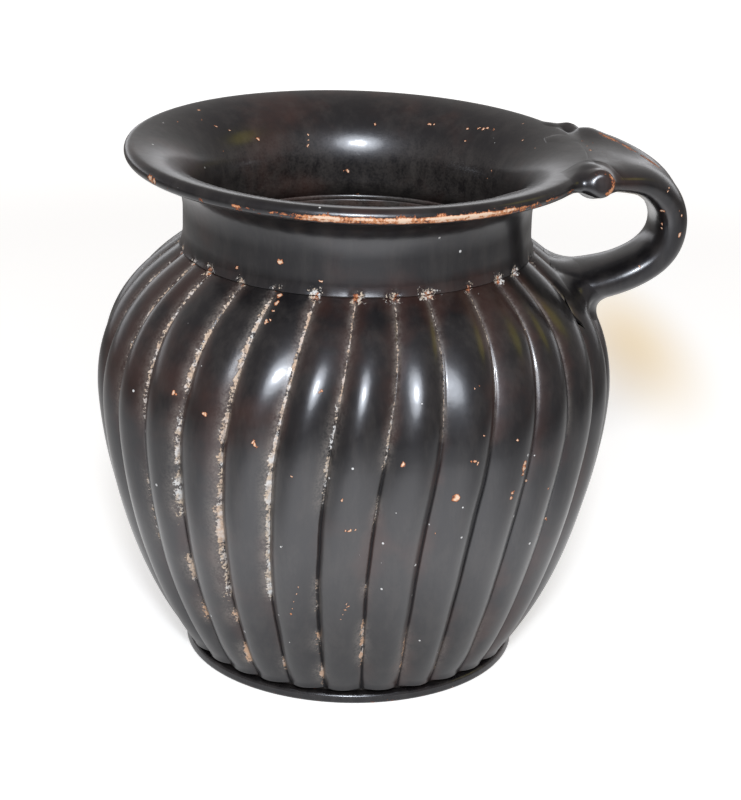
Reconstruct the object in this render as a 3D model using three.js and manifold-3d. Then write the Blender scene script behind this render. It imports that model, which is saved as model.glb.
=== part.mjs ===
// A ribbed clay cup: a thrown pot with pressed ribs, a collar neck with a flaring rim, a disc foot,
// and one strap handle that springs from the rim between two small knobs.
// Millimetres, +Z up, the handle towards +X, the origin at the middle of the foot's flat underside.

import * as THREE from 'three';
import { mergeVertices } from 'three/addons/utils/BufferGeometryUtils.js';
import Module from 'manifold-3d';

const wasm = await Module();
wasm.setup();

// Joints between the clay pieces
const seatGap = 0.3;            // clearance where a curved face is fitted to another
const slipThickness = 0.8;      // the layers of slip that bed the flat joints

// Foot: a turned disc
const footRadius = 30.8;
const footHeight = 1.9;
const footRounding = 0.7;       // rounding of the foot's outer edge
const footSlipRadius = 29.4;    // the slip is wiped back, which leaves the shadow groove

// Pot: its outer outline over the crests of the ribs
const heelRadius = 31.3;
const heelRounding = 0.6;
const heelLean = 34.2;          // degrees that the wall leans out from upright above the foot
const heelReach = 23.1;         // how far the wall keeps that lean
const potHeight = 74.8;         // from the slip on the foot to the seat of the neck
const bellyRadius = 47;
const bellyHeight = 51.6;       // above the table
const bellyFullnessBelow = 6;
const bellyFullnessAbove = 15.9;
const shoulderRadius = 31.9;
const shoulderLean = 50.9;      // degrees that the wall leans in at the neck
const shoulderReach = 6;
const potWall = 3.5;
const potFloor = 4;

// Ribs: pressed into the wall by hand, so they bow and stray a little
const ribCount = 29;
const ribDepth = 1.5;
const ribDepthAtNeck = 0.85;
const ribFlankShare = 0.2;      // where the flank of a groove ends, as a share of one rib
const ribFlankDepth = 0.36;     // depth of the flank's end, as a share of the groove's depth
const ribStart = -96.3;         // degrees from +X of the first groove, at the neck
const ribSwing = 6.2;           // degrees that the grooves swing aside on their way down
const ribBow = 2.85;            // degrees that they bunch and spread
const ribBowTurn = 3.8;         // radians of that bow from neck to foot
const ribBowPhase = 0.89;
const ribBowCentre = -117.6;    // degrees from +X where the bunching is centred
const ribStrays = [0.8, 0.3, -1.8, 0, 0.9, -1.5, 1, 0.6, 1.4, -1.2];  // degrees, at the neck only
const ribStrayFade = 0.33;      // share of the height over which the strays die out

// Neck and flaring rim
const neckRadius = 31.4;
const neckWall = 3.2;
const neckHeight = 17.4;        // from the slip to the top of the rim
const neckSlipBulge = 0.8;      // how far the slip stands proud of the neck, as the ledge over the ribs
const flareStart = 5.6;         // height above the slip where the neck begins to flare
const flarePull = 5.6;          // how long the flare keeps the neck's upright line
const rimRadius = 41.8;
const rimThickness = 2.7;
const rimSlope = 11;            // degrees that the rim falls towards the mouth
const rimShelf = 6;             // how long the rim keeps that slope
const rimLean = 0.9;            // degrees that the whole rim dips towards the handle

// Handle: a strap that leaves the rim, turns down and lands on the shoulder
const handleThickness = 6.6;
const handleRimWidth = 30;      // between the knobs
const handleWidth = 14;
const handleNarrowing = 0.42;   // share of its length in which the strap narrows to that
const handleNarrowingEase = 0.6;  // under 1 narrows it sooner
const handleRootWidth = 16;
const handleWideningStart = 0.6;  // share of its length after which it widens to that
const handleStandOff = 14.8;    // from the rim's edge out to the furthest point of its centre line
const handleTurnDrop = 11;      // from its start at the rim down to that point
const handleTopReach = 11.9;    // how long it runs out from the rim
const handleTurnPull = 3;
const handleRootDrop = 7.9;     // from the seat of the neck down to the middle of its lower end
const handleRootReach = 15.8;
const handleRootSlope = 8;      // degrees that it falls towards the shoulder
const handleSquareness = 2.6;   // 2 is an oval section, more is boxier
const handleSink = 5;           // how far the strap is drawn past both its seats before they cut it

// Clay worked round the handle's lower end
const rootClayWidth = 2.6;      // how far it spreads past the strap, on the shoulder
const rootClayEdge = 0.9;       // how thick it still is where it runs out along the strap
const rootClayLength = 6;

// Knobs: short rolls of clay on the rim at both sides of the handle
const knobRadius = 2.6;
const knobLength = 6;
const knobRounding = 0.7;
const knobStandOut = 2;         // from the rim's edge out to the knob's centre
const frontKnobRise = 0.6;      // of the knob's centre over the middle of the rim's edge
const rearKnobRise = -0.4;

// Facets
const ribColumns = 4;           // round one rib
const turnedColumns = 60;       // round a turned piece
const hollowColumns = 48;       // round the pot's inside
const edgeSteps = 3;            // along a rounding
const wallSteps = 8;            // along each curve of the pot's outline
const flareSteps = 6;
const handleColumns = 18;
const handleRings = 18;
const rootRings = 6;
const knobColumns = 18;

const footSlipBase = footHeight;
const potBase = footSlipBase + slipThickness;
const potTop = potBase + potHeight;
const neckBase = potTop + slipThickness;
const rimTop = neckBase + neckHeight;
const handleRootHeight = potTop - handleRootDrop;
const rimHalf = rimThickness / 2;
const mouthRadius = neckRadius - neckWall;

const radians = THREE.MathUtils.degToRad;

function point(radius, height) {
  return new THREE.Vector2(radius, height);
}

function aside(start, degrees, length) {
  const turn = radians(degrees);
  return point(start.x + Math.sin(turn) * length, start.y + Math.cos(turn) * length);
}

function bend(start, pullOut, pullIn, end, steps) {
  return new THREE.CubicBezierCurve(start, pullOut, pullIn, end).getPoints(steps);
}

// A quarter or half round of an outline, between two angles in degrees
function round(centre, radius, from, to) {
  const steps = Array.from({ length: edgeSteps + 1 }, (_, step) => step / edgeSteps);
  return steps.map((share) => {
    const turn = radians(from + (to - from) * share);
    return point(centre.x + radius * Math.cos(turn), centre.y + radius * Math.sin(turn));
  });
}

// An outline moved square to itself, outwards for a positive distance
function moved(outline, distance) {
  return outline.map((spot, index) => {
    const before = outline[Math.max(index - 1, 0)];
    const after = outline[Math.min(index + 1, outline.length - 1)];
    const along = after.clone().sub(before).normalize();
    return point(spot.x + along.y * distance, spot.y - along.x * distance);
  });
}

function turned(outline, columns) {
  return new THREE.LatheGeometry(outline, columns);
}

// A lathe turns about Y; this stands its axis up along Z
function upright(geometry) {
  return geometry.rotateX(Math.PI / 2);
}

function eachPoint(geometry, move) {
  const places = geometry.getAttribute('position');
  const spot = new THREE.Vector3();
  for (let index = 0; index < places.count; index += 1) {
    spot.fromBufferAttribute(places, index);
    move(spot);
    places.setXYZ(index, spot.x, spot.y, spot.z);
  }
  return geometry;
}

function solid(geometry) {
  const bare = geometry.clone();
  bare.deleteAttribute('normal');
  bare.deleteAttribute('uv');
  const merged = mergeVertices(bare, 1e-4);
  const mesh = new wasm.Mesh({
    numProp: 3,
    vertProperties: new Float32Array(merged.getAttribute('position').array),
    triVerts: new Uint32Array(merged.getIndex().array),
  });
  return new wasm.Manifold(mesh);
}

function surface(body) {
  const mesh = body.getMesh();
  const geometry = new THREE.BufferGeometry();
  geometry.setAttribute('position', new THREE.BufferAttribute(new Float32Array(mesh.vertProperties), 3));
  geometry.setIndex(new THREE.BufferAttribute(new Uint32Array(mesh.triVerts), 1));
  return geometry;
}

function piece(name, geometry, material) {
  geometry.computeVertexNormals();
  const mesh = new THREE.Mesh(geometry, material);
  mesh.name = name;
  return mesh;
}

function blackGloss(colour, roughness) {
  return new THREE.MeshStandardMaterial({ color: colour, roughness, metalness: 0 });
}

// Pot

function potOutline() {
  const heel = point(heelRadius, potBase + heelRounding);
  const belly = point(bellyRadius, bellyHeight);
  const seat = point(shoulderRadius, potTop);
  const lower = bend(heel, aside(heel, heelLean, heelReach), point(belly.x, belly.y - bellyFullnessBelow),
    belly, wallSteps);
  const upper = bend(belly, point(belly.x, belly.y + bellyFullnessAbove),
    aside(seat, 180 - shoulderLean, shoulderReach), seat, wallSteps);
  return [...lower, ...upper.slice(1)];
}

// How far the skin lies below the crest, at a share of the way across a rib
function grooveDepth(share, height) {
  const fall = (potTop - height) / potHeight;
  const deepest = ribDepthAtNeck + (ribDepth - ribDepthAtNeck) * Math.min(1, fall / ribStrayFade);
  const across = Math.abs(share - 0.5) * 2;
  const flank = 1 - 2 * ribFlankShare;
  return across > flank
    ? deepest * (ribFlankDepth + (1 - ribFlankDepth) * (across - flank) / (1 - flank))
    : deepest * ribFlankDepth * (across / flank) ** 2;
}

// The direction from the axis, in degrees from +X, in which a groove lies at a height
function grooveTurn(rib, height) {
  const fall = (potTop - height) / potHeight;
  const even = ribStart + rib * 360 / ribCount;
  const swing = ribSwing * Math.sin(fall * Math.PI / 2);
  const bow = ribBow * Math.cos(ribBowTurn * fall + ribBowPhase) * Math.sin(radians(even - ribBowCentre));
  const stray = ribStrays[rib % ribStrays.length] * Math.max(0, 1 - fall / ribStrayFade);
  return even - swing + bow + stray;
}

// The share of the way across its rib at which a column of facets stands
function columnShare(column) {
  const flankEnds = [0, ribFlankShare, 0.5, 1 - ribFlankShare];
  return flankEnds[column % ribColumns];
}

function pressRibs(spot) {
  const distance = Math.hypot(spot.x, spot.y);
  if (distance < footSlipRadius) {
    return;
  }
  const columns = ribCount * ribColumns;
  const turns = (Math.atan2(spot.y, spot.x) - radians(ribStart)) / (2 * Math.PI);
  const column = (Math.round(turns * columns) + columns) % columns;
  const rib = Math.floor(column / ribColumns);
  const share = columnShare(column);
  const here = grooveTurn(rib, spot.z);
  const next = rib + 1 < ribCount ? grooveTurn(rib + 1, spot.z) : grooveTurn(0, spot.z) + 360;
  const turn = radians(here + (next - here) * share);
  const radius = distance - grooveDepth(share, spot.z);
  spot.x = Math.cos(turn) * radius;
  spot.y = Math.sin(turn) * radius;
}

function potSolid() {
  const wall = potOutline();
  const heel = round(point(heelRadius - heelRounding, potBase + heelRounding), heelRounding, -90, 0);
  const outline = [point(0, potBase), ...heel.slice(0, -1), ...wall, point(0, potTop)];
  const blank = upright(turned(outline, ribCount * ribColumns)).rotateZ(radians(90 + ribStart));
  return solid(eachPoint(blank, pressRibs)).subtract(potHollow(wall));
}

function potHollow(wall) {
  const inside = moved(wall, -potWall).filter((spot) => spot.y > potBase + potFloor + potWall);
  const lowest = inside[0];
  const highest = inside[inside.length - 1];
  const corner = point(lowest.x - potWall, potBase + potFloor);
  const opening = Math.min(mouthRadius, highest.x);
  const floorCurve = bend(corner, point(lowest.x - potWall / 3, corner.y),
    aside(lowest, 180 + heelLean, potWall / 2), lowest, edgeSteps);
  const outline = [
    point(0, corner.y),
    ...floorCurve,
    ...inside.slice(1),
    point(opening, potTop),
    point(opening, potTop + slipThickness),
    point(0, potTop + slipThickness),
  ];
  return solid(upright(turned(outline, hollowColumns)));
}

// Everything inside the pot's skin, grown by the clearance, to fit other pieces against it
function potSeat() {
  const outline = [point(0, potBase), ...moved(potOutline(), seatGap), point(0, potTop)];
  return solid(upright(turned(outline, ribCount * ribColumns)));
}

// Foot

function footGeometry() {
  const lower = round(point(footRadius - footRounding, footRounding), footRounding, -90, 0);
  const upper = round(point(footRadius - footRounding, footHeight - footRounding), footRounding, 0, 90);
  const outline = [point(0, 0), ...lower, ...upper, point(0, footHeight)];
  return upright(turned(outline, turnedColumns));
}

function footSlipGeometry() {
  const outline = [
    point(0, footSlipBase),
    point(footSlipRadius, footSlipBase),
    point(footSlipRadius, potBase),
    point(0, potBase),
  ];
  return upright(turned(outline, turnedColumns));
}

// Neck and rim

function neckSlipGeometry() {
  const bulge = slipThickness / 2;
  const centre = point(neckRadius + neckSlipBulge - bulge, potTop + bulge);
  const outline = [
    point(mouthRadius, potTop),
    ...round(centre, bulge, -90, 90),
    point(mouthRadius, neckBase),
    point(mouthRadius, potTop),
  ];
  return upright(turned(outline, turnedColumns));
}

function neckOuter() {
  const start = point(neckRadius, neckBase + flareStart);
  const end = point(rimRadius - rimHalf, rimTop - rimThickness);
  return [
    point(neckRadius, neckBase),
    ...bend(start, point(start.x, start.y + flarePull), aside(end, 270 - rimSlope, rimShelf),
      end, flareSteps),
  ];
}

function neckInner() {
  const start = point(rimRadius - rimHalf, rimTop);
  const end = point(mouthRadius, neckBase + flareStart);
  return [
    ...bend(start, aside(start, 270 - rimSlope, rimShelf), point(end.x, end.y + flarePull),
      end, flareSteps),
    point(mouthRadius, neckBase),
  ];
}

function rimEdge() {
  return round(point(rimRadius - rimHalf, rimTop - rimHalf), rimHalf, -90, 90);
}

// The potter's rim isn't level: it dips towards the handle, more the higher up the neck
function leanRim(geometry) {
  return eachPoint(geometry, (spot) => {
    const share = Math.max(0, (spot.z - neckBase) / neckHeight);
    spot.z -= Math.tan(radians(rimLean)) * spot.x * share;
  });
}

function neckGeometry() {
  const outline = [...neckOuter(), ...rimEdge().slice(1, -1), ...neckInner()];
  outline.push(outline[0].clone());
  return leanRim(upright(turned(outline, turnedColumns)));
}

// Everything under the rim's outer skin, grown by the clearance, to fit the handle and knobs against it
function neckSeat() {
  const skin = [...neckOuter(), ...rimEdge().slice(1)];
  const outline = [point(0, neckBase), ...moved(skin, seatGap), point(0, rimTop + seatGap)];
  return solid(leanRim(upright(turned(outline, turnedColumns))));
}

// Handle

const rimDip = Math.tan(radians(rimLean)) * rimRadius;
const handleStart = point(rimRadius, rimTop - rimDip - handleThickness / 2);
const handleOut = point(rimRadius + handleStandOff, handleStart.y - handleTurnDrop);

function shoulderRadiusAt(height) {
  const wall = potOutline();
  const above = wall.findIndex((spot) => spot.y > height && spot.y > bellyHeight);
  const low = wall[above - 1];
  const high = wall[above];
  return low.x + (high.x - low.x) * (height - low.y) / (high.y - low.y);
}

const handleEnd = point(shoulderRadiusAt(handleRootHeight), handleRootHeight);

function handlePath() {
  const sink = point(handleStart.x - handleSink, handleStart.y);
  const root = aside(handleEnd, 90 - handleRootSlope, -handleSink);
  const path = new THREE.CurvePath();
  path.add(new THREE.LineCurve(sink, handleStart));
  path.add(new THREE.CubicBezierCurve(handleStart, point(handleStart.x + handleTopReach, handleStart.y),
    point(handleOut.x, handleOut.y + handleTurnPull), handleOut));
  path.add(new THREE.CubicBezierCurve(handleOut, point(handleOut.x, handleOut.y - handleTurnPull),
    aside(handleEnd, 90 - handleRootSlope, handleRootReach), handleEnd));
  path.add(new THREE.LineCurve(handleEnd, root));
  return path;
}

function ease(share) {
  return THREE.MathUtils.smootherstep(share, 0, 1);
}

function strapWidth(share) {
  const narrowing = ease(share / handleNarrowing) ** handleNarrowingEase;
  const widening = ease((share - handleWideningStart) / (1 - handleWideningStart));
  const narrowed = handleRimWidth + (handleWidth - handleRimWidth) * narrowing;
  return narrowed + (handleRootWidth - handleWidth) * widening;
}

// A closed bar bent along a stretch of the handle's centre line, with its own width and thickness
function strap(from, to, rings, widthAt, thicknessAt) {
  const path = handlePath();
  const bar = new THREE.CylinderGeometry(1, 1, 1, handleColumns, rings);
  return eachPoint(bar, (spot) => {
    const share = from + (to - from) * (0.5 - spot.y);
    const centre = path.getPointAt(share);
    const along = path.getTangentAt(share);
    const turn = Math.atan2(spot.z, spot.x);
    const reach = Math.hypot(spot.x, spot.z);
    const boxy = (value) => Math.sign(value) * Math.abs(value) ** (2 / handleSquareness);
    const across = boxy(Math.cos(turn)) * reach * widthAt(share) / 2;
    const outward = boxy(Math.sin(turn)) * reach * thicknessAt(share) / 2;
    spot.set(centre.x - along.y * outward, across, centre.y + along.x * outward);
  });
}

function handleBar() {
  return solid(strap(0, 1, handleRings, strapWidth, () => handleThickness));
}

function handleSolid() {
  return handleBar().subtract(neckSeat()).subtract(potSeat());
}

function rootClaySolid() {
  const length = handlePath().getLength();
  const start = 1 - (rootClayLength + handleSink) / length;
  const spread = (share) => {
    const worked = ease((share - start) * length / rootClayLength);
    return rootClayEdge + (rootClayWidth - rootClayEdge) * worked;
  };
  const skirt = strap(start, 1, rootRings, (share) => strapWidth(share) + 2 * spread(share),
    (share) => handleThickness + 2 * spread(share));
  const socket = strap(start - seatGap / length, 1, rootRings, (share) => strapWidth(share) + 2 * seatGap,
    () => handleThickness + 2 * seatGap);
  return solid(skirt).subtract(solid(socket)).subtract(potSeat());
}

// Knobs

function knobSolid(side, rise) {
  const half = knobLength / 2;
  const outline = [
    point(0, -half),
    ...round(point(knobRadius - knobRounding, knobRounding - half), knobRounding, -90, 0),
    ...round(point(knobRadius - knobRounding, half - knobRounding), knobRounding, 0, 90),
    point(0, half),
  ];
  const across = handleRimWidth / 2 + seatGap + half;
  const outward = Math.sqrt((rimRadius + knobStandOut) ** 2 - across ** 2);
  const height = rimTop - rimHalf - Math.tan(radians(rimLean)) * outward + rise;
  const roll = turned(outline, knobColumns).translate(outward, side * across, height);
  return solid(roll).subtract(neckSeat());
}

const cup = new THREE.Group();
cup.name = 'ribbed_cup';
cup.add(
  piece('foot_disc', footGeometry(), blackGloss(0x2a211d, 0.5)),
  piece('foot_joint_slip', footSlipGeometry(), blackGloss(0x1a1512, 0.8)),
  piece('ribbed_pot', surface(potSolid()), blackGloss(0x2b2320, 0.35)),
  piece('neck_joint_slip', neckSlipGeometry(), blackGloss(0x3a2c24, 0.5)),
  piece('neck_and_rim', neckGeometry(), blackGloss(0x2e2622, 0.35)),
  piece('strap_handle', surface(handleSolid()), blackGloss(0x2a2422, 0.35)),
  piece('handle_root_clay', surface(rootClaySolid()), blackGloss(0x332a26, 0.4)),
  piece('front_rim_knob', surface(knobSolid(-1, frontKnobRise)), blackGloss(0x3a2a22, 0.4)),
  piece('rear_rim_knob', surface(knobSolid(1, rearKnobRise)), blackGloss(0x3a2a22, 0.4)),
);

export default cup;
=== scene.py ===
import math
import random

import bmesh
import bpy
from mathutils import Matrix, Vector, noise
from mathutils.bvhtree import BVHTree


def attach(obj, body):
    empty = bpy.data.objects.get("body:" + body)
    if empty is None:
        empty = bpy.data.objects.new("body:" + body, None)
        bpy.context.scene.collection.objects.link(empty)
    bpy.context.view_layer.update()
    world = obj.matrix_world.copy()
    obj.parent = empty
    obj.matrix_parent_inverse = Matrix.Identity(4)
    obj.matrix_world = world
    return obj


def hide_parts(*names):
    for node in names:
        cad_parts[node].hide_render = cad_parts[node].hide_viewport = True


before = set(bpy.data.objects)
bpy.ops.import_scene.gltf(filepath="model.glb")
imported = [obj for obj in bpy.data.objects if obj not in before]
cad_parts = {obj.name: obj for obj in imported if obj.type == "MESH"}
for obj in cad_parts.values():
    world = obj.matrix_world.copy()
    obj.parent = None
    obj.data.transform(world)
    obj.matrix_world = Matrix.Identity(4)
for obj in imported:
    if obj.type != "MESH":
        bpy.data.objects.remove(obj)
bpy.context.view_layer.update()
bpy.ops.object.select_all(action="DESELECT")


# Camera
# The cup is seen from its front and a little from above, with the handle at the right.
# Its place, turn and lens come from the outlines of the rim, the belly and the foot.
picture_width = 741
picture_height = 800
camera_place = Vector((-0.0392, -0.4481, 0.2159))
camera_fall = 20.567      # degrees below level
camera_turn = 5.403       # degrees from straight ahead, towards the handle
camera_roll = 1.372
lens_length = 116.86      # for a picture whose long side is 36 across
long_side = 36

camera_way = (Matrix.Rotation(-math.radians(camera_turn), 3, "Z")
              @ Matrix.Rotation(math.radians(90 - camera_fall), 3, "X")
              @ Matrix.Rotation(math.radians(camera_roll), 3, "Z"))
camera_data = bpy.data.cameras.new("camera")
camera_data.lens = lens_length
camera_data.sensor_width = long_side
camera = bpy.data.objects.new("camera", camera_data)
camera.matrix_world = Matrix.Translation(camera_place) @ camera_way.to_4x4()
bpy.context.scene.collection.objects.link(camera)
bpy.context.scene.camera = camera
bpy.context.scene.view_settings.view_transform = "Standard"


def sight_through(across, down):
    focal = lens_length / long_side * picture_height
    aim = Vector((across - picture_width / 2, picture_height / 2 - down, -focal))
    return (camera_way @ aim).normalized()


# Nodes of a material, set and joined by their names
def put(tree, kind, **values):
    node = tree.nodes.new(kind)
    for name, value in values.items():
        if hasattr(node, name) and name not in node.inputs:
            setattr(node, name, value)
        else:
            fill(tree, node.inputs[name.replace("_", " ")], value)
    return node


def fill(tree, socket, value):
    if isinstance(value, bpy.types.NodeSocket):
        tree.links.new(value, socket)
    else:
        socket.default_value = value


def reckon(tree, operation, *values, clamp=False):
    node = tree.nodes.new("ShaderNodeMath")
    node.operation = operation
    node.use_clamp = clamp
    for socket, value in zip(node.inputs, values):
        fill(tree, socket, value)
    return node.outputs[0]


def blend(tree, share, first, second, kind="FLOAT"):
    node = tree.nodes.new("ShaderNodeMix")
    node.data_type = kind
    sockets = {"FLOAT": (2, 3, 0), "VECTOR": (4, 5, 1), "RGBA": (6, 7, 2)}[kind]
    fill(tree, node.inputs[0], share)
    fill(tree, node.inputs[sockets[0]], first)
    fill(tree, node.inputs[sockets[1]], second)
    return node.outputs[sockets[2]]


def spread(tree, value, low, high, low_to=0.0, high_to=1.0, smooth=True):
    node = tree.nodes.new("ShaderNodeMapRange")
    node.interpolation_type = "SMOOTHSTEP" if smooth else "LINEAR"
    for socket, number in zip(node.inputs, (value, low, high, low_to, high_to)):
        fill(tree, socket, number)
    return node.outputs[0]


def grain(tree, place, scale, detail=2.0, roughness=0.5):
    node = tree.nodes.new("ShaderNodeTexNoise")
    fill(tree, node.inputs["Vector"], place)
    node.inputs["Scale"].default_value = scale
    node.inputs["Detail"].default_value = detail
    node.inputs["Roughness"].default_value = roughness
    return node.outputs["Fac"]


def new_material(name):
    material = bpy.data.materials.new(name)
    material.use_nodes = True
    material.node_tree.nodes.clear()
    return material


# Light and floor
# A flash stands behind the camera and above it, soft at its border. The room is dim, a little paler behind
# the cup, with one warm lit corner at the right. The floor is a pale sheet that shows white; the handle's
# warm shadow is painted into it, and a painted glow shapes how it shows in the glaze.
lamp_side = -94.4         # degrees from the handle's direction
lamp_height = 31.5        # degrees above level
lamp_reach = 0.75
lamp_aim = Vector((0, 0, 0.065))
lamp_colour = (0.90, 0.95, 1.0)


def way_to(side, height):
    side = math.radians(side)
    height = math.radians(height)
    return Vector((math.cos(side) * math.cos(height), math.sin(side) * math.cos(height), math.sin(height)))


def add_lamp(name, width, tall, watts):
    data = bpy.data.lights.new(name, "AREA")
    data.shape = "ELLIPSE"
    data.size = width
    data.size_y = tall
    data.energy = watts
    data.color = lamp_colour
    lamp = bpy.data.objects.new(name, data)
    lamp.location = lamp_aim + way_to(lamp_side, lamp_height) * lamp_reach
    lamp.rotation_euler = way_to(lamp_side, lamp_height).to_track_quat("Z", "Y").to_euler()
    lamp.visible_camera = False
    bpy.context.scene.collection.objects.link(lamp)


add_lamp("soft_lamp", 0.40, 0.44, 2.7)
add_lamp("flash", 0.07, 0.08, 2.7)

white = (1, 1, 1, 1)
dim_room = (0.27, 0.25, 0.245, 1)
pale_wall = (0.33, 0.32, 0.31, 1)
bright_backdrop = (1.25, 1.25, 1.28, 1)
warm_corner = (0.95, 0.82, 0.24, 1)
warm_side = 6
warm_height = 36
world = bpy.data.worlds.new("room")
world.use_nodes = True
bpy.context.scene.world = world
air = world.node_tree
air.nodes.clear()
way = put(air, "ShaderNodeTexCoord").outputs["Generated"]
axes = put(air, "ShaderNodeSeparateXYZ", Vector=way).outputs
behind = spread(air, axes["Y"], 0.30, 0.80)
low = spread(air, axes["Z"], 0.30, 0.65, 1.0, 0.0)
room_colour = blend(air, reckon(air, "MULTIPLY", behind, low), dim_room, pale_wall, "RGBA")
toward = put(air, "ShaderNodeVectorMath", operation="DOT_PRODUCT")
fill(air, toward.inputs[0], way)
toward.inputs[1].default_value = way_to(warm_side, warm_height)
horizon = reckon(air, "MULTIPLY", behind, spread(air, axes["Z"], 0.06, 0.26, 1.0, 0.0))
room_colour = blend(air, horizon, room_colour, bright_backdrop, "RGBA")
corner = spread(air, toward.outputs["Value"], 0.980, 0.996)
room_colour = blend(air, corner, room_colour, warm_corner, "RGBA")
seen = put(air, "ShaderNodeLightPath").outputs["Is Camera Ray"]
room_light = put(air, "ShaderNodeBackground", Color=blend(air, seen, room_colour, white, "RGBA"))
put(air, "ShaderNodeOutputWorld", Surface=room_light.outputs[0])

floor_reach = 3.0
handle_shade = Vector((0.085, 0.163, 0))    # where the handle's shadow falls; a warm shadow is painted into the floor there
handle_shade_narrowed = Vector((1, 0.28, 1))
handle_shade_reach = 0.021
warm_shade = (0.90, 0.74, 0.53, 1)
painted_shadow_paper = (0.76, 0.68, 0.54, 1)
pale_paper = (0.92, 0.91, 0.89, 1)
far_paper = (0.12, 0.11, 0.10, 1)
mirrored_paper = (0.36, 0.35, 0.34, 1)
bpy.ops.mesh.primitive_grid_add(x_subdivisions=24, y_subdivisions=24, size=2 * floor_reach,
                                location=(0, 0, 0))
floor = bpy.context.object
floor.name = "floor"
floor_white = new_material("floor_white")
sheet = floor_white.node_tree
sheet_rays = put(sheet, "ShaderNodeLightPath").outputs
sheet_place = put(sheet, "ShaderNodeTexCoord").outputs["Object"]
sheet_away = put(sheet, "ShaderNodeVectorMath", operation="LENGTH", Vector=sheet_place).outputs["Value"]
# Painted reflection: to glossy rays only the near part of the sheet glows, and its middle is painted darker
# as the cup's own shade
sheet_axes = put(sheet, "ShaderNodeSeparateXYZ", Vector=sheet_place).outputs
sheet_aside = spread(sheet, reckon(sheet, "ABSOLUTE", sheet_axes["X"]), 0.02, 0.11, 1.0, 0.35)
sheet_near = reckon(sheet, "MULTIPLY", sheet_aside, spread(sheet, sheet_away, 0.15, 0.34, 1.0, 0.0))
sheet_painted_reflection_glow = reckon(sheet, "MULTIPLY", spread(sheet, sheet_away, 0.030, 0.075, 0.35, 1.35),
                           spread(sheet, sheet_away, 0.10, 0.20, 1.0, 0.75))
sheet_mirrored = reckon(sheet, "MULTIPLY", sheet_rays["Is Glossy Ray"], sheet_near)
sheet_far = spread(sheet, sheet_away, 0.26, 0.50)
sheet_seen_glow = reckon(sheet, "MULTIPLY", sheet_rays["Is Camera Ray"], blend(sheet, sheet_far, 0.52, 0.95))
sheet_glow = reckon(sheet, "MULTIPLY_ADD", sheet_mirrored, sheet_painted_reflection_glow, sheet_seen_glow)
sheet_drawn = put(sheet, "ShaderNodeVectorMath", operation="MULTIPLY")
fill(sheet, sheet_drawn.inputs[0], sheet_place)
sheet_drawn.inputs[1].default_value = handle_shade_narrowed
from_handle_shade = put(sheet, "ShaderNodeVectorMath", operation="DISTANCE")
fill(sheet, from_handle_shade.inputs[0], sheet_drawn.outputs["Vector"])
from_handle_shade.inputs[1].default_value = handle_shade * handle_shade_narrowed
# Painted shadow: the handle's shadow is painted warm into the floor's colour and glow here
sheet_painted_shadow = spread(sheet, from_handle_shade.outputs["Value"], 0.0, handle_shade_reach, 1.0, 0.0)
sheet_tone = blend(sheet, sheet_painted_shadow, white, warm_shade, "RGBA")
sheet_pale = reckon(sheet, "MAXIMUM", sheet_near, sheet_rays["Is Camera Ray"])
sheet_paper = blend(sheet, sheet_pale, far_paper, pale_paper, "RGBA")
sheet_paper = blend(sheet, sheet_rays["Is Glossy Ray"], sheet_paper, mirrored_paper, "RGBA")
sheet_paper = blend(sheet, sheet_painted_shadow, sheet_paper, painted_shadow_paper, "RGBA")
sheet_diffuse = put(sheet, "ShaderNodeBsdfDiffuse", Color=sheet_paper)
sheet_light = put(sheet, "ShaderNodeEmission", Color=sheet_tone, Strength=sheet_glow)
sheet_sum = put(sheet, "ShaderNodeAddShader")
fill(sheet, sheet_sum.inputs[0], sheet_diffuse.outputs[0])
fill(sheet, sheet_sum.inputs[1], sheet_light.outputs[0])
put(sheet, "ShaderNodeOutputMaterial", Surface=sheet_sum.outputs[0])
floor.data.materials.append(floor_white)


# Foot
# A flat turned disc of clay that the pot stands on, with soft edges.
# It was turned with the pot upside down and is bare of ribs; its lower edge is rubbed by tables.
foot_radius = 0.0308
foot_height = 0.0019
foot_rounding = 0.0007
turned_columns = 256


def rounding(centre_radius, centre_height, radius, start, end, steps=8):
    places = []
    for step in range(steps + 1):
        turn = math.radians(start + (end - start) * step / steps)
        places.append((centre_radius + radius * math.cos(turn), centre_height + radius * math.sin(turn)))
    return places


def deselect_all():
    bpy.ops.object.select_all(action="DESELECT")


def turned_piece(name, outline, columns):
    """Spins an outline of (radius, height) places about the upright axis into a closed skin."""
    deselect_all()
    mesh = bpy.data.meshes.new(name)
    places = [(radius, 0, height) for radius, height in outline]
    mesh.from_pydata(places, [(step, step + 1) for step in range(len(places) - 1)], [])
    run = mesh.attributes.new("run", "FLOAT", "POINT")
    travelled = 0
    for index, spot in enumerate(mesh.vertices):
        if index:
            travelled += (spot.co - mesh.vertices[index - 1].co).length
        run.data[index].value = travelled
    piece = bpy.data.objects.new(name, mesh)
    bpy.context.scene.collection.objects.link(piece)
    piece.select_set(True)
    bpy.context.view_layer.objects.active = piece
    bpy.ops.object.mode_set(mode="EDIT")
    bpy.ops.mesh.select_all(action="SELECT")
    bpy.ops.mesh.spin(steps=columns, angle=math.tau, center=(0, 0, 0), axis=(0, 0, 1))
    bpy.ops.mesh.select_all(action="SELECT")
    bpy.ops.mesh.remove_doubles(threshold=0.000002)
    bpy.ops.mesh.normals_make_consistent(inside=False)
    bpy.ops.object.mode_set(mode="OBJECT")
    bpy.ops.object.shade_smooth()
    return piece


def finish_piece(piece, slot, *nodes):
    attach(piece, "root")
    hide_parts(*nodes)


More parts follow.
